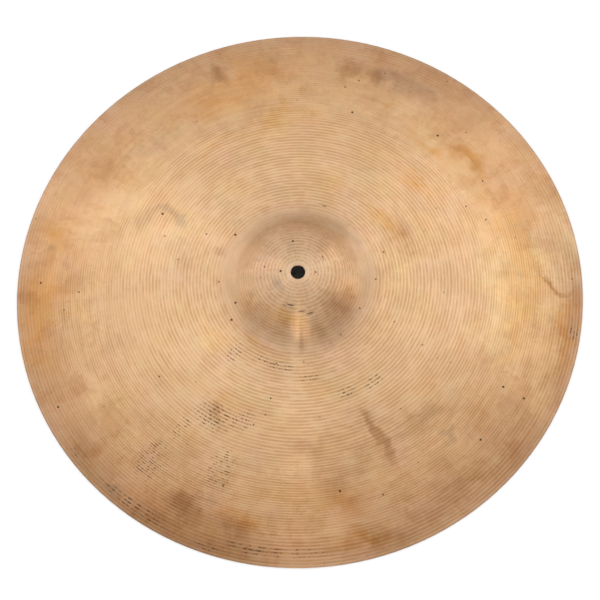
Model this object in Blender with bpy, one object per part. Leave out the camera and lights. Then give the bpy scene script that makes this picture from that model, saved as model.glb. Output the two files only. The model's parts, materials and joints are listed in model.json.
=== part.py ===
"""A crash cymbal: one spun bronze disc with a domed bell, a shallow bow and a thin rounded edge.

Metres, +Z up. The cymbal lies bell up on its edge, and the origin is the centre of the circle
that the edge rests on. The section below is written as (radius, height) points, and it is
turned about +Z.
"""
import math

import bmesh
import bpy

# Driving dimensions.
DIAMETER = 0.4572                   # 18 inches across
HOLE_DIAMETER = 0.0115              # takes a stand's 6 to 8 mm rod and its plastic sleeve
SEAT_RADIUS = 0.015                 # flat ring round the hole, where the felts press
CROWN_RADIUS = 0.046                # arc of the bell's dome, in section
BELL_SLOPE = math.radians(33.0)     # slope of the straight flank below the dome
FLANK_LENGTH = 0.0099
FOOT_RADIUS = 0.020                 # arc that turns the flank into the bow
BOW_RADIUS = 1.183                  # arc of the bow, in section
CENTRE_THICKNESS = 0.0014
EDGE_THICKNESS = 0.00085
HOLE_CHAMFER = 0.0003

# How finely the curves are cut into faces.
TURN_STEPS = 80
CROWN_STEPS = 7
FOOT_STEPS = 6
BOW_STEPS = 9
EDGE_ANGLES = (40.0, 0.0, -45.0, -90.0)   # degrees above level, round the outside of the edge
SHARP_ANGLE = math.radians(35.0)

# Bronze.
BRONZE_COLOUR = (0.66, 0.39, 0.205, 1.0)
BRONZE_METALLIC = 1.0
BRONZE_ROUGHNESS = 0.38

# The edge is a half circle about this point of the section, and it touches height 0.
EDGE_HALF = EDGE_THICKNESS / 2
EDGE_CENTRE = (DIAMETER / 2 - EDGE_HALF, EDGE_HALF)


def arc(count, start, end):
    """The values after start on the way to end, in equal steps."""
    return [start + (end - start) * step / count for step in range(1, count + 1)]


def upper_face():
    """The upper face from the seat's rim outwards, as (radius, height, slope) points."""
    edge_slope = math.asin(EDGE_CENTRE[0] / (BOW_RADIUS - EDGE_HALF))
    bow_top = EDGE_CENTRE[1] + EDGE_HALF * math.cos(edge_slope)
    bow_top += BOW_RADIUS * (1 - math.cos(edge_slope))

    # The bell's outer radius follows from its dome, flank and foot, which run into each other.
    reach = SEAT_RADIUS + (CROWN_RADIUS + FOOT_RADIUS) * math.sin(BELL_SLOPE)
    reach += FLANK_LENGTH * math.cos(BELL_SLOPE)
    bell_radius = reach / (1 + FOOT_RADIUS / BOW_RADIUS)
    bow_slope = math.asin(bell_radius / BOW_RADIUS)

    def bow_point(slope):
        return BOW_RADIUS * math.sin(slope), bow_top - BOW_RADIUS * (1 - math.cos(slope)), slope

    bell_height = bow_point(bow_slope)[1]

    def foot_point(slope):
        radius = bell_radius - FOOT_RADIUS * (math.sin(slope) - math.sin(bow_slope))
        height = bell_height + FOOT_RADIUS * (math.cos(bow_slope) - math.cos(slope))
        return radius, height, slope

    flank_height = foot_point(BELL_SLOPE)[1] + FLANK_LENGTH * math.sin(BELL_SLOPE)
    seat_height = flank_height + CROWN_RADIUS * (1 - math.cos(BELL_SLOPE))

    def crown_point(slope):
        radius = SEAT_RADIUS + CROWN_RADIUS * math.sin(slope)
        return radius, seat_height - CROWN_RADIUS * (1 - math.cos(slope)), slope

    points = [crown_point(0.0)]
    points += [crown_point(slope) for slope in arc(CROWN_STEPS, 0.0, BELL_SLOPE)]
    points += [foot_point(BELL_SLOPE)]
    points += [foot_point(slope) for slope in arc(FOOT_STEPS, BELL_SLOPE, bow_slope)]
    points += [bow_point(slope) for slope in arc(BOW_STEPS, bow_slope, edge_slope)]
    return points


def thickness_at(radius):
    """Even over the seat, then an even taper out to the edge."""
    taper = (radius - SEAT_RADIUS) / (EDGE_CENTRE[0] - SEAT_RADIUS)
    taper = min(max(taper, 0.0), 1.0)
    return CENTRE_THICKNESS + (EDGE_THICKNESS - CENTRE_THICKNESS) * taper


def under_point(point):
    """The point of the underside below a point of the upper face, square to it."""
    radius, height, slope = point
    thickness = thickness_at(radius)
    return radius - thickness * math.sin(slope), height - thickness * math.cos(slope)


def edge_point(angle):
    radius = EDGE_CENTRE[0] + EDGE_HALF * math.cos(math.radians(angle))
    return radius, EDGE_CENTRE[1] + EDGE_HALF * math.sin(math.radians(angle))


def section():
    """The closed outline: out over the upper face, round the edge, back below, up the hole."""
    upper = upper_face()
    top = upper[0][1]
    bottom = top - CENTRE_THICKNESS
    hole = HOLE_DIAMETER / 2
    outline = [(hole, top - HOLE_CHAMFER), (hole + HOLE_CHAMFER, top)]
    outline += [point[:2] for point in upper]
    outline += [edge_point(angle) for angle in EDGE_ANGLES]
    outline += [under_point(point) for point in reversed(upper)]
    outline += [(hole + HOLE_CHAMFER, bottom), (hole, bottom + HOLE_CHAMFER)]
    return outline


def turned_mesh(name, outline):
    """Turns a closed outline about +Z into one closed mesh with its faces pointing out."""
    shape = bmesh.new()
    corners = [shape.verts.new((radius, 0.0, height)) for radius, height in outline]
    sides = [shape.edges.new(pair) for pair in zip(corners, corners[1:] + corners[:1])]
    bmesh.ops.spin(shape, geom=corners + sides, cent=(0, 0, 0), axis=(0, 0, 1),
                   angle=2 * math.pi, steps=TURN_STEPS, use_merge=True)
    bmesh.ops.recalc_face_normals(shape, faces=shape.faces)
    mesh = bpy.data.meshes.new(name)
    shape.to_mesh(mesh)
    shape.free()
    mesh.shade_smooth()
    mesh.set_sharp_from_angle(angle=SHARP_ANGLE)
    return mesh


def bronze():
    material = bpy.data.materials.new("bronze")
    material.use_nodes = True
    shader = material.node_tree.nodes["Principled BSDF"]
    shader.inputs["Base Color"].default_value = BRONZE_COLOUR
    shader.inputs["Metallic"].default_value = BRONZE_METALLIC
    shader.inputs["Roughness"].default_value = BRONZE_ROUGHNESS
    return material


def clear_scene():
    for item in list(bpy.data.objects):
        bpy.data.objects.remove(item)


def build():
    clear_scene()
    mesh = turned_mesh("cymbal", section())
    mesh.materials.append(bronze())
    cymbal = bpy.data.objects.new("cymbal", mesh)
    bpy.context.scene.collection.objects.link(cymbal)


build()
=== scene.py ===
"""Looks for the crash cymbal: a lathed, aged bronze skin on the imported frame, and a pale studio."""
import json
import math

import bpy
import numpy as np
from mathutils import Matrix, Vector

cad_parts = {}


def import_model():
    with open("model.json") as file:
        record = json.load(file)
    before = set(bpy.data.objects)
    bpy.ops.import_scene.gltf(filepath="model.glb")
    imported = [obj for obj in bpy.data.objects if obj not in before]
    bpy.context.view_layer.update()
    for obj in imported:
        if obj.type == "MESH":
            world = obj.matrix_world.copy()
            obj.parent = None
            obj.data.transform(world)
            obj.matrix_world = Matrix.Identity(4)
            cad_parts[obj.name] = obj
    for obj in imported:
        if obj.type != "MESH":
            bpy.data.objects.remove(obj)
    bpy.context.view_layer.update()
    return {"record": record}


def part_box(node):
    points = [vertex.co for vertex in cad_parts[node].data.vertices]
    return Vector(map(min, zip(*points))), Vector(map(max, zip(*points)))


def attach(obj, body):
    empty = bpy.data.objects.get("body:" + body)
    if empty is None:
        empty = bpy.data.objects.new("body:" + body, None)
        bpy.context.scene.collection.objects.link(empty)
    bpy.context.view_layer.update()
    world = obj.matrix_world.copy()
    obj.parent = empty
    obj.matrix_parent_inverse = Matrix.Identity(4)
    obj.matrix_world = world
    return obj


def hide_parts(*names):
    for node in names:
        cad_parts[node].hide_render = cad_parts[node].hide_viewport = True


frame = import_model()

# ---------------------------------------------------------------- dimensions
# The overall sizes come from the frame, and the section's arcs are those of the CAD part.
LOW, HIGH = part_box("cymbal")
RADIUS = HIGH.x
SEATS = {mount["name"]: Vector(mount["pos_m"]) for mount in frame["record"]["mounts"]}
TOP = SEATS["bell_top_seat"].z
CENTRE_THICKNESS = TOP - SEATS["bell_under_seat"].z
EDGE_THICKNESS = 0.00085
HOLE_RADIUS = 0.00575
SEAT_RADIUS = 0.015
CROWN_RADIUS = 0.046
BELL_SLOPE = math.radians(33.0)
FLANK_LENGTH = 0.0099
FOOT_RADIUS = 0.020
BOW_RADIUS = 1.183
HOLE_CHAMFER = 0.0003

EDGE_HALF = EDGE_THICKNESS / 2
EDGE_CENTRE = RADIUS - EDGE_HALF
EDGE_SLOPE = math.asin(EDGE_CENTRE / (BOW_RADIUS - EDGE_HALF))
BELL_REACH = (SEAT_RADIUS + (CROWN_RADIUS + FOOT_RADIUS) * math.sin(BELL_SLOPE)
              + FLANK_LENGTH * math.cos(BELL_SLOPE))
BELL_RADIUS = BELL_REACH / (1 + FOOT_RADIUS / BOW_RADIUS)
BOW_SLOPE = math.asin(BELL_RADIUS / BOW_RADIUS)

# How finely the skin is turned, and how many points each groove has on top and underneath.
TURN_STEPS = 140
TOP_GROOVE_STEPS = 4
UNDER_GROOVE_STEPS = 3
# The grooves start this far short of the seat's end, and stop this far from the edge.
SEAT_GROOVES = 0.006
EDGE_MARGIN = 0.0005


# ---------------------------------------------------------------- section
def arc(length_step, radius, start, end):
    """Slopes from start to end along an arc, at even steps of about length_step."""
    count = max(2, round(abs(end - start) * radius / length_step))
    return np.linspace(start, end, count, endpoint=False)


def fine_upper_face(step=0.0001):
    """The plain upper face as rows of radius, height and slope, at steps of about 0.1 mm."""
    bow_drop = BOW_RADIUS * math.cos(EDGE_SLOPE)
    edge_height = EDGE_HALF * (1 + math.cos(EDGE_SLOPE))

    def bow(slope):
        return BOW_RADIUS * np.sin(slope), edge_height + BOW_RADIUS * np.cos(slope) - bow_drop, slope

    def foot(slope):
        radius, height, _ = bow(BOW_SLOPE)
        return (radius - FOOT_RADIUS * (np.sin(slope) - math.sin(BOW_SLOPE)),
                height + FOOT_RADIUS * (math.cos(BOW_SLOPE) - np.cos(slope)), slope)

    def crown(slope):
        return SEAT_RADIUS + CROWN_RADIUS * np.sin(slope), TOP - CROWN_RADIUS * (1 - np.cos(slope)), slope

    seat = np.arange(HOLE_RADIUS, SEAT_RADIUS, step)
    rows = [np.array([seat, np.full_like(seat, TOP), np.zeros_like(seat)]).T]
    rows.append(np.array(crown(arc(step, CROWN_RADIUS, 0.0, BELL_SLOPE))).T)
    flank = np.linspace(0, 1, round(FLANK_LENGTH / step), endpoint=False)[:, None]
    rows.append(np.array(crown(BELL_SLOPE)) * (1 - flank) + np.array(foot(BELL_SLOPE)) * flank)
    rows.append(np.array(foot(arc(step, FOOT_RADIUS, BELL_SLOPE, BOW_SLOPE))).T)
    rows.append(np.array(bow(arc(step, BOW_RADIUS, BOW_SLOPE, EDGE_SLOPE))).T)
    rows.append(np.array([bow(EDGE_SLOPE)]))
    return np.concatenate(rows)


FACE = fine_upper_face()
RUN = np.concatenate([[0.0], np.cumsum(np.hypot(*np.diff(FACE[:, :2], axis=0).T))])


def upper_at(run):
    """Radius, height and slope of the plain upper face, at distances from the hole along it."""
    return np.stack([np.interp(run, RUN, FACE[:, column]) for column in range(3)], axis=-1)


# Groove pitch and depth against radius, in metres. The pitches are rounded from what a program
# measured in the photograph.
PITCH = ((0.0, 0.00275), (0.020, 0.00275), (0.026, 0.0031), (0.033, 0.0030), (0.037, 0.0023),
         (0.046, 0.0023), (0.054, 0.00275), (0.140, 0.0027), (0.150, 0.0021), (0.185, 0.0019),
         (0.197, 0.0021), (0.207, 0.0026), (0.217, 0.0029), (0.2286, 0.0021))
DEPTH = ((0.0, 0.00003), (0.018, 0.00006), (0.050, 0.00004), (0.055, 0.00002), (0.063, 0.00002),
         (0.070, 0.00009), (0.140, 0.00008), (0.170, 0.00006), (0.2286, 0.00006))


def read_table(table, radius):
    """The table's second column at a radius, or at an array of them."""
    return np.interp(radius, [row[0] for row in table], [row[1] for row in table])


def groove_runs(steps):
    """Distances along the face of every profile point, and each one's place in its groove."""
    runs, places = [], []
    run = SEAT_RADIUS - HOLE_RADIUS - SEAT_GROOVES
    while True:
        pitch = float(read_table(PITCH, upper_at(run)[0]))
        if run + pitch > RUN[-1] - EDGE_MARGIN:
            break
        for step in range(steps):
            runs.append(run + pitch * step / steps)
            places.append(step / steps)
        run += pitch
    runs.append(run)
    places.append(0.0)
    return np.array(runs), np.array(places)


def face_points(steps, under):
    """One grooved face as radii, heights and groove: 0 on the ridges and 1 in the valleys."""
    runs, places = groove_runs(steps)
    points = upper_at(runs)
    valley = 1 - (2 * places - 1) ** 2
    radius, height, slope = points.T
    sink = read_table(DEPTH, radius) * valley
    if under:
        taper = np.clip((radius - SEAT_RADIUS) / (EDGE_CENTRE - SEAT_RADIUS), 0, 1)
        sink = CENTRE_THICKNESS + (EDGE_THICKNESS - CENTRE_THICKNESS) * taper - sink
    return radius - sink * np.sin(slope), height - sink * np.cos(slope), valley


def section():
    """The closed outline as rows of radius, height, groove, and side: 0 on top and 1 under."""
    rows = []
    rows.append((HOLE_RADIUS, TOP - HOLE_CHAMFER, 0, 0))
    rows.append((HOLE_RADIUS + 0.1 * HOLE_CHAMFER, TOP - 0.3 * HOLE_CHAMFER, 0, 0))
    rows.append((HOLE_RADIUS + HOLE_CHAMFER, TOP, 0, 0))
    radius, height, valley = face_points(TOP_GROOVE_STEPS, False)
    rows += list(zip(radius, height, valley, np.zeros_like(radius)))
    for angle in (90 - math.degrees(EDGE_SLOPE), 55, 30, 0, -30, -60, -90):
        turn = math.radians(angle)
        rows.append((EDGE_CENTRE + EDGE_HALF * math.cos(turn), EDGE_HALF * (1 + math.sin(turn)), 0, 0))
    radius, height, valley = face_points(UNDER_GROOVE_STEPS, True)
    rows += list(zip(radius[::-1], height[::-1], valley[::-1], np.ones_like(radius)))
    under = TOP - CENTRE_THICKNESS
    rows.append((HOLE_RADIUS + HOLE_CHAMFER, under, 0, 1))
    rows.append((HOLE_RADIUS + 0.1 * HOLE_CHAMFER, under + 0.3 * HOLE_CHAMFER, 0, 1))
    rows.append((HOLE_RADIUS, under + HOLE_CHAMFER, 0, 1))
    return np.array(rows)


def turned_mesh(name, outline, turns):
    """The closed outline turned about +Z, with its groove and side values kept on the points."""
    count = len(outline)
    angle = np.arange(turns) * 2 * math.pi / turns
    points = np.empty((turns, count, 3))
    points[..., 0] = np.cos(angle)[:, None] * outline[:, 0]
    points[..., 1] = np.sin(angle)[:, None] * outline[:, 0]
    points[..., 2] = outline[:, 1]
    turn, point = np.meshgrid(np.arange(turns), np.arange(count), indexing="ij")
    next_turn = (turn + 1) % turns
    next_point = (point + 1) % count
    corners = (turn * count + point, turn * count + next_point,
               next_turn * count + next_point, next_turn * count + point)
    quads = np.stack(corners, axis=-1).reshape(-1, 4)
    mesh = bpy.data.meshes.new(name)
    mesh.from_pydata(points.reshape(-1, 3).tolist(), [], quads.tolist())
    mesh.validate()
    for key, column in (("groove", 2), ("side", 3)):
        attribute = mesh.attributes.new(key, "FLOAT", "POINT")
        attribute.data.foreach_set("value", np.tile(outline[:, column], turns).astype(np.float32))
    mesh.shade_smooth()
    return mesh


# ---------------------------------------------------------------- node helpers
class Nodes:
    """Short calls that add nodes to one material and give back their outputs."""

    def __init__(self, tree):
        self.tree = tree

    def add(self, kind, inputs=(), **settings):
        """A node with its settings, and with its inputs set or linked by index or by name."""
        node = self.tree.nodes.new("ShaderNode" + kind)
        for key, value in settings.items():
            setattr(node, key, value)
        for key, value in dict(inputs).items():
            if isinstance(value, bpy.types.NodeSocket):
                self.tree.links.new(value, node.inputs[key])
            else:
                node.inputs[key].default_value = value
        return node

    def math(self, operation, *values):
        return self.add("Math", dict(enumerate(values)), operation=operation).outputs[0]

    def vector(self, operation, *values):
        node = self.add("VectorMath", dict(enumerate(values)), operation=operation)
        number = operation in ("LENGTH", "DISTANCE", "DOT_PRODUCT")
        return node.outputs[1 if number else 0]

    def scale(self, vector, factor):
        return self.add("VectorMath", {0: vector, 3: factor}, operation="SCALE").outputs[0]

    def combine(self, x, y, z):
        return self.add("CombineXYZ", {0: x, 1: y, 2: z}).outputs[0]

    def noise(self, vector, scale, detail=3.0, roughness=0.55, colour=False):
        inputs = {"Vector": vector, "Scale": scale, "Detail": detail, "Roughness": roughness}
        return self.add("TexNoise", inputs).outputs[1 if colour else 0]

    def ease(self, value, start, end, low=0.0, high=1.0):
        """Low at start, high at end, and a smooth step between them."""
        inputs = {0: value, 1: start, 2: end, 3: low, 4: high}
        return self.add("MapRange", inputs, interpolation_type="SMOOTHSTEP").outputs[0]

    def tint(self, colour, tint, factor, blend="MULTIPLY"):
        """The colour multiplied by, or mixed with, a fixed tint as far as the factor says."""
        inputs = {"Factor_Float": factor, "A_Color": colour, "B_Color": (*tint, 1.0)}
        node = self.add("Mix", data_type="RGBA", blend_type=blend)
        sockets = {socket.identifier: socket for socket in node.inputs}
        for key, value in inputs.items():
            if isinstance(value, bpy.types.NodeSocket):
                self.tree.links.new(value, sockets[key])
            else:
                sockets[key].default_value = value
        return node.outputs[2]

    def ramp(self, value, stops):
        """A colour ramp through (position, colour) stops."""
        node = self.add("ValToRGB", {0: value})
        stored = node.color_ramp.elements
        while len(stored) < len(stops):
            stored.new(0.5)
        for element, (position, colour) in zip(stored, stops):
            element.position = position
            element.color = (*colour, 1.0)
        return node.outputs[0]

    def curve(self, value, stops):
        """A number ramp through (position, number) stops."""
        return self.ramp(value, [(position, (number,) * 3) for position, number in stops])


# ---------------------------------------------------------------- bronze
# Bronze colour against the radius, as a share of the outer radius: partly the metal's own colour
# and partly painted light and shade by radius, such as the painted shade in the crease at the
# bell's foot near 0.25. Every tint multiplies it. Each stop was corrected by a measured ratio of
# photograph to render.
BRONZE_AND_SHADE_BY_RADIUS = (
    (0.00, (0.56, 0.390, 0.255)), (0.06, (0.57, 0.390, 0.250)), (0.09, (0.575, 0.390, 0.247)),
    (0.15, (0.675, 0.440, 0.262)), (0.20, (0.64, 0.400, 0.228)), (0.25, (0.53, 0.345, 0.209)),
    (0.30, (0.645, 0.432, 0.256)), (0.45, (0.69, 0.468, 0.276)), (0.55, (0.685, 0.452, 0.262)),
    (0.65, (0.685, 0.454, 0.263)), (0.76, (0.64, 0.403, 0.219)), (0.86, (0.60, 0.364, 0.198)),
    (0.95, (0.56, 0.339, 0.187)), (1.00, (0.53, 0.328, 0.194)),
)
TARNISH_TINT = (1.04, 0.92, 0.68)
# Brown stains, and painted shade on the bell and along the edge.
BROWN_STAIN_AND_SHADE_TINT = (0.73, 0.65, 0.58)
GREY_TINT = (0.80, 0.82, 0.87)
# Pale bronze, and painted highlight.
PALE_AND_SHEEN_TINT = (1.10, 1.13, 1.18)
# Mostly painted highlight.
GOLD_SHEEN_TINT = (1.11, 1.18, 1.15)
# Dirt and painted shade in the groove valleys.
VALLEY_DIRT_AND_SHADE_TINT = (0.78, 0.69, 0.60)
CLOUD_SHADE = (0.84, 0.78, 0.72)
CLOUD_LIGHT = (1.08, 1.10, 1.13)
STREAK_TINT = (0.88, 0.80, 0.72)
ISLAND_TINT = (0.935, 0.905, 0.875)
CONTOUR_TINT = (0.86, 0.78, 0.68)
WIPED_TINT = (1.12, 1.22, 1.29)
TIDE_TINT = (0.70, 0.60, 0.50)
# Painted shade for the line down the bell's front.
BELL_SHADE_TINT = (0.74, 0.68, 0.66)
GRIME_COLOUR = (0.035, 0.024, 0.018)

# How far each noise swings the colour, in red, green and blue.
MOTTLE_SWING = (0.24, 0.29, 0.36)
HUE_SWING = (0.16, 0.06, 0.34)
GRAIN_SWING = (0.12, 0.14, 0.16)
RING_SWING = (0.20, 0.22, 0.25)

# Roughness of clean metal, and what grain, tarnish and grime add to it.
CLEAN_ROUGHNESS = 0.34
GRAIN_ROUGHNESS = 0.08
TARNISH_ROUGHNESS = 0.05
GRIME_ROUGHNESS = 0.35
# How far grime hides the metal's colour, and how much of its metallic look it takes away.
GRIME_COVER = 0.85
GRIME_DULLING = 0.3
# The lathe's fine scratches stretch reflections across the grooves.
ANISOTROPY = 0.95
ANISOTROPY_TURN = 0.25

# Patches on top, each with its azimuth in degrees, radius as a share of the outer radius,
# half its angle in degrees, half its width as a share, and strength.
TARNISH = (
    (12, 0.78, 26, 0.18, 0.5), (36, 0.77, 9, 0.05, 0.9), (346, 0.80, 20, 0.14, 0.4),
    (98, 0.82, 16, 0.18, 0.6), (185, 0.95, 14, 0.08, 0.8), (162, 0.885, 8, 0.08, 0.7),
    (176, 0.89, 11, 0.10, 0.8), (240, 0.93, 28, 0.12, 0.35), (277, 0.80, 12, 0.12, 0.5),
    (345, 0.96, 12, 0.05, 0.7), (70, 0.40, 16, 0.07, 0.4), (112, 0.80, 14, 0.10, 0.5),
    (214, 0.36, 18, 0.08, 0.5), (115, 0.62, 24, 0.05, 0.35), (92, 0.63, 14, 0.07, 0.6),
    (280, 0.95, 12, 0.05, 0.7), (250, 0.16, 40, 0.05, 0.7), (45, 0.70, 18, 0.05, 0.6),
    (38, 0.55, 14, 0.04, 0.6), (34, 0.38, 26, 0.06, 0.7), (240, 0.52, 30, 0.06, 0.4),
    (230, 0.27, 16, 0.03, 0.5), (255, 0.86, 10, 0.06, 0.6),
)
# Brown patches: mostly stains, and partly painted shade: the dark arcs on the bell's far side and the dark
# spots either side of the bright stripe down its front.
BROWN_STAIN_AND_SHADE = (
    (240, 0.985, 38, 0.14, 0.75), (212, 0.95, 16, 0.09, 0.35), (275, 0.78, 12, 0.15, 0.5),
    (292, 0.63, 3, 0.12, 1.0), (307, 0.66, 12, 0.07, 0.6), (305, 0.90, 14, 0.07, 0.5),
    (283, 0.95, 16, 0.07, 0.7), (34, 0.76, 16, 0.08, 0.5), (24, 0.40, 20, 0.12, 0.6),
    (68, 0.88, 10, 0.08, 0.5), (143, 0.84, 14, 0.12, 0.6), (158, 0.72, 12, 0.08, 0.4),
    (106, 0.91, 4, 0.07, 0.9), (75, 0.86, 3, 0.05, 0.6), (100, 0.68, 14, 0.06, 0.4),
    (236, 0.57, 7, 0.05, 0.6), (268, 0.60, 14, 0.05, 0.4), (335, 0.20, 20, 0.05, 0.4),
    (318, 0.165, 30, 0.08, 0.75), (45, 0.12, 30, 0.08, 0.4), (297, 0.25, 28, 0.05, 0.4),
    (205, 0.20, 20, 0.05, 0.5), (224, 0.25, 28, 0.05, 0.35), (286, 0.62, 22, 0.24, 0.35),
    (42, 0.84, 18, 0.10, 0.35), (240, 0.875, 7, 0.06, 1.0), (252, 0.90, 12, 0.05, 0.4),
    (155, 0.29, 16, 0.03, 0.4), (75, 0.235, 70, 0.05, 0.5), (250, 0.19, 8, 0.06, 0.4),
    (287, 0.20, 8, 0.06, 0.4), (90, 0.205, 50, 0.03, 0.3),
)
GREY = (
    (145, 0.53, 5, 0.10, 1.1), (148, 0.455, 6, 0.03, 1.1), (150, 0.60, 5, 0.06, 0.6),
    (300, 0.255, 30, 0.03, 0.4), (330, 0.22, 14, 0.03, 0.4), (150, 0.13, 40, 0.06, 0.6),
    (225, 0.97, 4, 0.03, 0.9), (309, 0.75, 3, 0.04, 0.9), (166, 0.912, 3, 0.03, 0.8),
    (100, 0.10, 20, 0.04, 0.6), (60, 0.90, 18, 0.07, 1.0), (210, 0.08, 30, 0.02, 0.8),
    (132, 0.74, 16, 0.08, 0.6), (40, 0.24, 24, 0.04, 0.5), (165, 0.42, 24, 0.20, 0.5),
    (208, 0.085, 30, 0.03, 0.6), (195, 0.175, 18, 0.04, 0.4),
)
# Pale patches: partly lighter bronze and partly painted highlight, most of it on the bell's flanks and
# front, and along the bow to the right and left where the side lights reflect.
PALE_AND_SHEEN = (
    (4, 0.19, 16, 0.07, 1.3), (258, 0.18, 4, 0.06, 0.9), (178, 0.20, 18, 0.06, 1.1),
    (0, 0.66, 24, 0.15, 0.9), (216, 0.36, 26, 0.08, 1.0), (114, 0.60, 12, 0.10, 0.8),
    (345, 0.55, 24, 0.15, 0.7), (120, 0.17, 34, 0.04, 0.8), (8, 0.29, 12, 0.04, 0.7),
    (180, 0.80, 14, 0.16, 0.6), (250, 0.40, 30, 0.06, 0.6), (60, 0.06, 60, 0.03, 0.5),
    (280, 0.16, 12, 0.02, 0.6), (322, 0.165, 12, 0.02, 0.6), (348, 0.80, 26, 0.16, 1.5),
    (176, 0.88, 12, 0.08, 0.8), (200, 0.77, 30, 0.12, 0.8), (225, 0.93, 16, 0.06, 0.7),
    (8, 0.74, 20, 0.10, 0.8),
)
# Golden patches, mostly painted highlight: a line of them out to the right at azimuth 0, and a few to the
# left near 180 to 205, where the side lights reflect.
GOLD_SHEEN = (
    (350, 0.80, 22, 0.20, 1.2), (2, 0.70, 14, 0.12, 0.45), (12, 0.975, 20, 0.05, 0.8),
    (332, 0.92, 12, 0.08, 0.7), (205, 0.80, 14, 0.10, 0.3), (0, 0.20, 20, 0.07, 0.6),
    (0, 0.10, 30, 0.05, 0.6), (240, 0.45, 16, 0.07, 0.6), (178, 0.19, 14, 0.06, 0.5),
    (0, 0.36, 20, 0.08, 0.5),
)
# The wiped area at the right, a faint one at the top left, and the tide line where the first ends.
WIPED = ((5, 0.925, 12, 0.11, 1.0), (128, 0.93, 9, 0.08, 0.2))
TIDE = ((354, 0.87, 8, 0.12, 2.0),)
# Groups of grime dashes that lie in the grooves.
DASHES = (
    (227, 0.345, 4, 0.05, 1.6), (244, 0.315, 6, 0.02, 1.4), (256, 0.325, 9, 0.020, 1.6),
    (272, 0.36, 7, 0.018, 1.4), (288, 0.44, 5, 0.020, 1.6), (301, 0.45, 6, 0.025, 1.6),
    (236, 0.57, 8, 0.06, 1.3), (246, 0.54, 5, 0.05, 1.2), (229, 0.65, 2, 0.08, 1.2),
    (228, 0.80, 4, 0.09, 1.1), (245, 0.71, 5, 0.09, 0.9), (240, 0.87, 30, 0.16, 0.26),
    (231, 0.966, 9, 0.024, 1.3), (214, 0.975, 2, 0.015, 1.0), (262, 0.955, 13, 0.018, 1.2),
    (248, 0.978, 3, 0.014, 1.2), (256, 0.945, 7, 0.015, 0.6), (267, 0.945, 4, 0.015, 0.6),
    (346, 0.975, 2, 0.03, 1.2),
)
# Short dark scratches round the bell and beside it. The first, third and fifth come from the same
# search as the pits.
SCRATCHES = (
    (254, 0.121, 9, 0.0035, 0.8), (272, 0.139, 9, 0.003, 0.7), (283, 0.150, 8, 0.003, 0.8),
    (245, 0.126, 7, 0.0025, 0.6), (68, 0.292, 3, 0.004, 0.5), (88, 0.150, 8, 0.003, 0.35),
    (184, 0.128, 4, 0.004, 0.4), (25, 0.10, 9, 0.003, 0.4),
)
# A painted shade line down the front of the bell, between the reflections of the two front strips.
BELL_SHADE_LINE = ((269, 0.21, 3.0, 0.08, 0.55), (269, 0.25, 8, 0.04, 0.4))
# Dark pits by azimuth in degrees and radius as a share. All but two come from a program that
# searched the photograph for dark specks. A pit starts and is fully dark at these radii in metres.
LARGE_PIT = (0.0012, 0.0006)
SMALL_PIT = (0.00095, 0.0004)
LARGE_PITS = (
    (139, 0.28), (198, 0.235), (172, 0.060), (277, 0.76), (328, 0.88), (45, 0.76), (328, 0.80),
    (204, 0.94), (314, 0.84), (209, 0.275), (148, 0.55), (175, 0.915), (70, 0.69), (95, 0.12),
)
SMALL_PITS = (
    (254, 0.44), (212, 0.59), (247, 0.77), (15, 0.315), (27, 0.765), (74, 0.79), (287, 0.81),
    (178, 0.775), (356, 0.27), (22, 0.66), (148, 0.37), (329, 0.24), (16, 0.705), (356, 0.061),
    (165, 0.118), (71, 0.83),
)
# The azimuth in degrees where the patches' own azimuth jumps. The few faint patches that reach
# across it end there.
SEAM = 157


class Place:
    """Where a point of the skin is: on the disc, by direction and share, and on which side."""

    def __init__(self, nodes):
        spot = nodes.add("TexCoord").outputs["Object"]
        self.groove = nodes.add("Attribute", attribute_name="groove").outputs["Fac"]
        self.side = nodes.add("Attribute", attribute_name="side").outputs["Fac"]
        self.top = nodes.math("SUBTRACT", 1.0, self.side)
        self.flat = nodes.vector("MULTIPLY", spot, (1, 1, 0))
        self.metres = nodes.vector("LENGTH", self.flat)
        self.share = nodes.math("DIVIDE", self.metres, RADIUS)
        self.way = nodes.vector("NORMALIZE", self.flat)
        self.cloudy = nodes.vector("ADD", self.flat, nodes.scale((0, 0, 0.7), self.side))
        self.polar = self.azimuth_and_share(nodes, self.flat)
        warp = nodes.noise(self.cloudy, 26, 4, 0.6, colour=True)
        reach = nodes.ease(self.share, 0.1, 0.7, 0.006, 0.055)
        push = nodes.scale(nodes.vector("SUBTRACT", warp, (0.5, 0.5, 0.5)), reach)
        self.moved_polar = self.azimuth_and_share(nodes, nodes.vector("ADD", self.flat, push))

    def azimuth_and_share(self, nodes, flat):
        """Azimuth in degrees from opposite the seam, and radius as a share, as one vector."""
        turn = math.radians(180 - SEAM)
        ahead = nodes.vector("DOT_PRODUCT", flat, (math.cos(turn), -math.sin(turn), 0))
        aside = nodes.vector("DOT_PRODUCT", flat, (math.sin(turn), math.cos(turn), 0))
        degrees = nodes.math("DEGREES", nodes.math("ARCTAN2", aside, ahead))
        level = nodes.vector("MULTIPLY", flat, (1, 1, 0))
        share = nodes.math("DIVIDE", nodes.vector("LENGTH", level), RADIUS)
        return nodes.combine(degrees, share, 0)

    def along(self, nodes, around, outward):
        """Coordinates that run round the cymbal at one scale and outward at another."""
        turned = nodes.scale(self.way, around)
        rise = nodes.math("MULTIPLY_ADD", self.metres, outward, nodes.math("MULTIPLY", self.side, 7.3))
        return nodes.vector("ADD", turned, nodes.combine(0, 0, rise))


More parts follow.
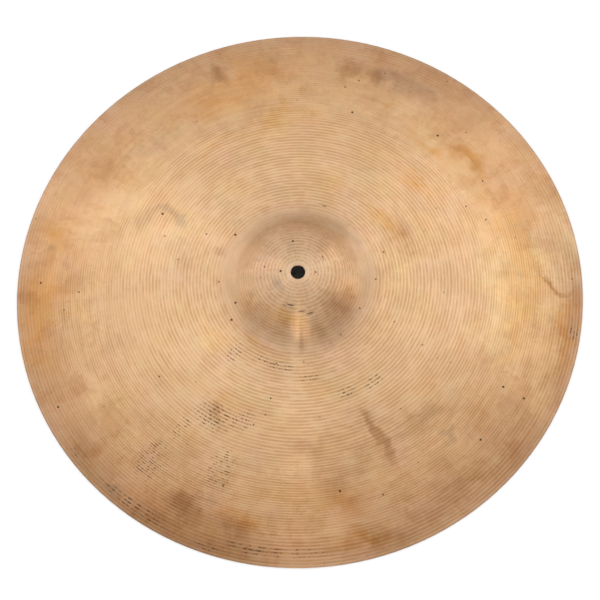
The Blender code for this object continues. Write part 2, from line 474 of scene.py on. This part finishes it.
def patches(nodes, place, table, moved=True):
    """The sum of a table's ovals, on top only: each its strength at the middle, 0 from its rim on."""
    polar = place.moved_polar if moved else place.polar
    total = 0.0
    for azimuth, share, half_angle, half_width, strength in table:
        ahead = (azimuth - SEAM) % 360 - 180
        shift = (-ahead / half_angle, -share / half_width, 0)
        spread = nodes.vector("MULTIPLY_ADD", polar, (1 / half_angle, 1 / half_width, 0), shift)
        inside = nodes.math("SUBTRACT", 1.0, nodes.vector("LENGTH", spread))
        oval = nodes.math("MULTIPLY", nodes.math("MAXIMUM", inside, 0.0), strength)
        total = nodes.math("ADD", oval, total)
    return nodes.math("MULTIPLY", total, place.top)


def nearest_pit(nodes, place, table):
    """Distance in metres to the nearest of a table's pits."""
    nearest = 9.0
    for azimuth, share in table:
        turn = math.radians(azimuth)
        centre = (share * RADIUS * math.cos(turn), share * RADIUS * math.sin(turn), 0)
        nearest = nodes.math("MINIMUM", nodes.vector("DISTANCE", place.flat, centre), nearest)
    return nearest


def valley_dirt_and_shade_strength(nodes, place):
    """How strongly the groove valleys are darkened, as dirt and as painted shade: weak at the bell's
    foot except on its near side, and weaker on the far outer bow and toward the left.
    """
    by_radius = nodes.curve(place.share, (
        (0.0, 0.3), (0.07, 0.9), (0.19, 1.0), (0.225, 0.2), (0.26, 0.2), (0.285, 1.1),
        (0.62, 1.0), (0.74, 1.0), (0.84, 0.9), (0.90, 0.75), (0.95, 1.0), (0.99, 0.9)))
    height = nodes.vector("DOT_PRODUCT", place.way, (0, 1, 0))
    foot = nodes.math("MULTIPLY", nodes.ease(place.share, 0.19, 0.21), nodes.ease(place.share, 0.30, 0.27))
    near_foot_shade = nodes.math("MULTIPLY", foot, nodes.ease(height, 0.0, -0.7, 0.0, 0.4))
    by_radius = nodes.math("ADD", by_radius, near_foot_shade)
    far = nodes.math("MULTIPLY", nodes.ease(height, -0.1, 0.45), nodes.ease(place.share, 0.60, 0.74))
    kept = nodes.math("MULTIPLY_ADD", far, -0.55, 1.0)
    leftward = nodes.vector("DOT_PRODUCT", place.way, (-1, 0, 0))
    kept = nodes.math("MULTIPLY", kept, nodes.ease(leftward, 0.2, 0.9, 1.0, 0.78))
    broad = nodes.ease(nodes.noise(place.along(nodes, 5, 40), 1.0, 3), 0.3, 0.65, 0.6, 1.2)
    broken = nodes.ease(nodes.noise(place.along(nodes, 8, 420), 1.0, 3), 0.3, 0.7, 0.55, 1.40)
    patchy = nodes.math("MULTIPLY", broad, broken)
    return nodes.math("MULTIPLY", nodes.math("MULTIPLY", by_radius, kept), patchy)


def varied(nodes, colour, noise, swing):
    """The colour scaled up and down by a noise value, by its own swing in each channel."""
    middle = tuple(1 - part / 2 for part in swing)
    return nodes.vector("MULTIPLY", colour, nodes.vector("MULTIPLY_ADD", noise, swing, middle))


def clouded(nodes, place, outer):
    """Radial bronze with painted shade, under broad darker and lighter clouds; and the clouds' noise."""
    colour = nodes.ramp(place.share, BRONZE_AND_SHADE_BY_RADIUS)
    clouds = nodes.noise(place.cloudy, 24, 6, 0.6)
    strength = nodes.math("MULTIPLY_ADD", outer, 0.40, 0.25)
    shade = nodes.math("MULTIPLY", nodes.ease(clouds, 0.42, 0.72), strength)
    colour = nodes.tint(colour, CLOUD_SHADE, shade)
    light = nodes.math("MULTIPLY", nodes.ease(clouds, 0.45, 0.25), strength)
    return nodes.tint(colour, CLOUD_LIGHT, light), clouds


def mottled(nodes, place, outer, colour):
    """The colour with fine mottling and drifts of hue, and the mottling's noise."""
    mottle = nodes.noise(place.cloudy, 95, 7, 0.68)
    gain = nodes.math("MULTIPLY_ADD", outer, 0.65, 0.45)
    swung = nodes.math("MULTIPLY_ADD", nodes.math("SUBTRACT", mottle, 0.5), gain, 0.5)
    colour = varied(nodes, colour, swung, MOTTLE_SWING)
    hues = nodes.noise(place.cloudy, 40, 5, 0.6, colour=True)
    return varied(nodes, colour, hues, HUE_SWING), mottle


def streaked(nodes, place, outer, colour):
    """The colour with streaks and rings that follow the grooves, and with grain."""
    streaks = nodes.noise(place.along(nodes, 12, 30), 1.0, 6, 0.65)
    streak = nodes.math("MULTIPLY", nodes.ease(streaks, 0.48, 0.72), nodes.math("MULTIPLY", outer, 0.8))
    colour = nodes.tint(colour, STREAK_TINT, streak)
    grain = nodes.noise(place.cloudy, 620, 2, 0.6)
    colour = varied(nodes, colour, grain, GRAIN_SWING)
    rings = nodes.noise(place.along(nodes, 2.5, 260), 1.0, 5, 0.7)
    return varied(nodes, colour, rings, RING_SWING)


def edged(nodes, place, outer, clouds, colour):
    """The colour with sharp-edged stains, and fine lines where drops dried."""
    islands = nodes.ease(nodes.noise(place.cloudy, 34, 7, 0.55), 0.535, 0.575)
    colour = nodes.tint(colour, ISLAND_TINT, nodes.math("MULTIPLY", islands, outer))
    contour = nodes.math("ABSOLUTE", nodes.math("SUBTRACT", clouds, 0.47))
    line = nodes.math("MULTIPLY", nodes.ease(contour, 0.012, 0.0, 0.0, 0.5), outer)
    return nodes.tint(colour, CONTOUR_TINT, line)


def stained(nodes, place, mottle, colour):
    """The colour with every patch table laid on, and the tarnish mask that roughens it."""
    fleck = nodes.math("MULTIPLY_ADD", mottle, 0.9, -0.45)

    def mask(table, low, high):
        total = nodes.math("ADD", patches(nodes, place, table), fleck)
        return nodes.ease(total, low, high)

    tarnish = mask(TARNISH, 0.0, 0.8)
    # The brown mask is partly painted shade on the bell.
    brown_stain_and_shade = mask(BROWN_STAIN_AND_SHADE, 0.0, 0.9)
    colour = nodes.tint(colour, TARNISH_TINT, tarnish)
    colour = nodes.tint(colour, BROWN_STAIN_AND_SHADE_TINT, brown_stain_and_shade)
    colour = nodes.tint(colour, GREY_TINT, mask(GREY, 0.05, 0.9))
    # Partly painted highlight.
    colour = nodes.tint(colour, PALE_AND_SHEEN_TINT, mask(PALE_AND_SHEEN, 0.05, 0.9))
    # Mostly painted highlight.
    colour = nodes.tint(colour, GOLD_SHEEN_TINT, nodes.ease(patches(nodes, place, GOLD_SHEEN), 0.0, 0.8))
    return wiped_and_shaded(nodes, place, colour), nodes.math("MAXIMUM", tarnish, brown_stain_and_shade)


def wiped_and_shaded(nodes, place, colour):
    """The colour with the wiped area, its tide line, and the bell's painted shade line."""
    wiped = patches(nodes, place, WIPED)
    colour = nodes.tint(colour, WIPED_TINT, nodes.ease(wiped, 0.12, 0.40))
    tide = nodes.math("MULTIPLY", nodes.ease(wiped, 0.05, 0.17), nodes.ease(wiped, 0.28, 0.18))
    tide = nodes.math("MULTIPLY", tide, patches(nodes, place, TIDE))
    colour = nodes.tint(colour, TIDE_TINT, nodes.math("MULTIPLY", tide, 0.65))
    bell_shade = nodes.ease(patches(nodes, place, BELL_SHADE_LINE, moved=False), 0.0, 0.8)
    return nodes.tint(colour, BELL_SHADE_TINT, bell_shade)


def colour_of_bronze(nodes, place):
    """Base colour before grime, with the tarnish mask that also roughens it."""
    outer = nodes.ease(place.share, 0.45, 0.85)
    colour, clouds = clouded(nodes, place, outer)
    colour, mottle = mottled(nodes, place, outer, colour)
    colour = streaked(nodes, place, outer, colour)
    colour = edged(nodes, place, outer, clouds, colour)
    return stained(nodes, place, mottle, colour)


def grime_mask(nodes, place):
    """Dark dirt: dashes along the grooves, scratches, and pits."""
    zone = patches(nodes, place, DASHES, moved=False)
    columns = nodes.noise(place.along(nodes, 62, 330), 1.0, 5, 0.7)
    dash = nodes.math("MULTIPLY", nodes.ease(zone, 0.0, 0.6), nodes.ease(columns, 0.49, 0.58))
    dash = nodes.math("MULTIPLY", dash, nodes.ease(place.groove, 0.70, 1.0))
    scratch = nodes.ease(patches(nodes, place, SCRATCHES, moved=False), 0.05, 0.6)
    large = nodes.ease(nearest_pit(nodes, place, LARGE_PITS), *LARGE_PIT)
    small = nodes.ease(nearest_pit(nodes, place, SMALL_PITS), *SMALL_PIT, 0.0, 0.9)
    pit = nodes.math("MULTIPLY", nodes.math("MAXIMUM", large, small), place.top)
    cells = nodes.add("TexVoronoi", {"Vector": place.cloudy, "Scale": 95.0})
    drawn = nodes.add("SeparateColor", {0: cells.outputs["Color"]}).outputs[0]
    speck_size = nodes.ease(drawn, 0.60, 1.0, 0.0, 0.075)
    speck = nodes.math("MULTIPLY", nodes.math("LESS_THAN", cells.outputs["Distance"], speck_size), 0.6)
    dirt = nodes.math("MAXIMUM", nodes.math("MAXIMUM", dash, scratch), pit)
    return nodes.math("MAXIMUM", dirt, speck)


def bronze():
    """The one material: aged bronze, lathed, tarnished and a little dirty, with painted light and shade.
    """
    material = bpy.data.materials.new("aged_bronze")
    material.use_nodes = True
    nodes = Nodes(material.node_tree)
    shader = material.node_tree.nodes["Principled BSDF"]
    place = Place(nodes)
    colour, tarnish = colour_of_bronze(nodes, place)
    strength = valley_dirt_and_shade_strength(nodes, place)
    # Dirt and painted shade: the groove valleys are darkened, by the strength above.
    colour = nodes.tint(colour, VALLEY_DIRT_AND_SHADE_TINT, nodes.math("MULTIPLY", place.groove, strength))
    # Painted shade: the edge is darkened all round with the brown tint, for its dark reflection.
    rim = nodes.ease(place.share, 0.993, 0.999, 0.0, 0.6)
    colour = nodes.tint(colour, BROWN_STAIN_AND_SHADE_TINT, rim)
    grime = grime_mask(nodes, place)
    cover = nodes.math("MULTIPLY", grime, GRIME_COVER)
    colour = nodes.tint(colour, GRIME_COLOUR, cover, "MIX")
    grain = nodes.noise(place.cloudy, 240, 3)
    rough = nodes.math("MULTIPLY_ADD", grain, GRAIN_ROUGHNESS, CLEAN_ROUGHNESS)
    rough = nodes.math("MULTIPLY_ADD", tarnish, TARNISH_ROUGHNESS, rough)
    rough = nodes.math("MULTIPLY_ADD", grime, GRIME_ROUGHNESS, rough)
    metallic = nodes.math("MULTIPLY_ADD", grime, -GRIME_DULLING, 1.0)
    tangent = nodes.add("Tangent", direction_type="RADIAL", axis="Z").outputs[0]
    links = material.node_tree.links
    links.new(colour, shader.inputs["Base Color"])
    links.new(rough, shader.inputs["Roughness"])
    links.new(metallic, shader.inputs["Metallic"])
    links.new(tangent, shader.inputs["Tangent"])
    shader.inputs["Anisotropic"].default_value = ANISOTROPY
    shader.inputs["Anisotropic Rotation"].default_value = ANISOTROPY_TURN
    return material


def cymbal():
    """The skin that is seen in place of the CAD part."""
    mesh = turned_mesh("cymbal_skin", section(), TURN_STEPS)
    mesh.materials.append(bronze())
    skin = bpy.data.objects.new("lathed_cymbal", mesh)
    bpy.context.scene.collection.objects.link(skin)
    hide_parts("cymbal")
    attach(skin, "root")


# ---------------------------------------------------------------- stage
FLOOR_REACH = 12.0
FLOOR_WHITE = 0.97
FLOOR_ROUGHNESS = 0.9

CAMERA_TILT = math.radians(20.47)
CAMERA_ROLL = math.radians(3.8)
CAMERA_DISTANCE = 6.5 * RADIUS
CAMERA_AIM = Vector((0.0002, -0.0098, 0))
CAMERA_SENSOR = 36.0
CAMERA_LENS = 110.2

AMBIENT = 0.8
# Softboxes, each with its azimuth and tilt from straight up in degrees, distance, size and power.
# The powers, and AMBIENT, are rounded from a program's fit to the brightness of the photograph.
LIGHTS = (
    ("over", 90, 21, 2.4, (1.3, 1.3), 7.4),
    ("left_low", 180, 78, 2.2, (1.2, 0.8), 4.0),
    ("right_low", 0, 78, 2.2, (1.2, 0.8), 6.3),
    ("back_left", 135, 50, 2.4, (1.0, 1.0), 3.55),
    ("back_right", 45, 50, 2.4, (1.0, 1.0), 3.7),
    ("front_left_strip", 264.2, 72, 1.8, (0.24, 0.8), 2.9),
    ("front_right_strip", 275.8, 72, 1.8, (0.24, 0.8), 1.55),
)
LIGHTS_TARGET = Vector((0, 0, 0.02))


def floor():
    """A wide, plain white floor."""
    mesh = bpy.data.meshes.new("floor")
    low, high = -FLOOR_REACH, FLOOR_REACH
    corners = [(low, low, 0), (high, low, 0), (high, high, 0), (low, high, 0)]
    mesh.from_pydata(corners, [], [(0, 1, 2, 3)])
    item = bpy.data.objects.new("floor", mesh)
    bpy.context.scene.collection.objects.link(item)
    material = bpy.data.materials.new("floor")
    material.use_nodes = True
    shader = material.node_tree.nodes["Principled BSDF"]
    shader.inputs["Base Color"].default_value = (FLOOR_WHITE, FLOOR_WHITE, FLOOR_WHITE, 1)
    shader.inputs["Roughness"].default_value = FLOOR_ROUGHNESS
    shader.inputs["Specular IOR Level"].default_value = 0.0
    mesh.materials.append(material)


def camera():
    """The photograph's view: from the front, high up, and rolled a little."""
    data = bpy.data.cameras.new("camera")
    data.sensor_width = CAMERA_SENSOR
    data.lens = CAMERA_LENS
    item = bpy.data.objects.new("camera", data)
    place = Vector((0, -math.sin(CAMERA_TILT), math.cos(CAMERA_TILT))) * CAMERA_DISTANCE
    look = (CAMERA_AIM - place).to_track_quat("-Z", "Y")
    item.location = place
    item.rotation_mode = "QUATERNION"
    item.rotation_quaternion = look @ Matrix.Rotation(-CAMERA_ROLL, 4, "Z").to_quaternion()
    bpy.context.scene.collection.objects.link(item)
    bpy.context.scene.camera = item


def world():
    """Plain white surroundings."""
    item = bpy.data.worlds.new("studio")
    item.use_nodes = True
    background = item.node_tree.nodes["Background"]
    background.inputs[0].default_value = (1, 1, 1, 1)
    background.inputs[1].default_value = AMBIENT
    bpy.context.scene.world = item


def softbox(name, place, size, power):
    """A rectangular light that faces the cymbal and that the camera doesn't see."""
    light = bpy.data.lights.new(name, "AREA")
    light.shape = "RECTANGLE"
    light.size, light.size_y = size
    light.energy = power
    item = bpy.data.objects.new(name, light)
    item.location = place
    item.rotation_mode = "QUATERNION"
    item.rotation_quaternion = (LIGHTS_TARGET - place).to_track_quat("-Z", "Y")
    item.visible_camera = False
    bpy.context.scene.collection.objects.link(item)


def lights():
    """Every softbox, placed by its azimuth and tilt."""
    for name, azimuth, tilt, distance, size, power in LIGHTS:
        turn, lean = math.radians(azimuth), math.radians(tilt)
        level = math.sin(lean)
        way = Vector((level * math.cos(turn), level * math.sin(turn), math.cos(lean)))
        softbox(name, way * distance, size, power)


cymbal()
floor()
camera()
world()
lights()
bpy.context.scene.view_settings.view_transform = "Standard"
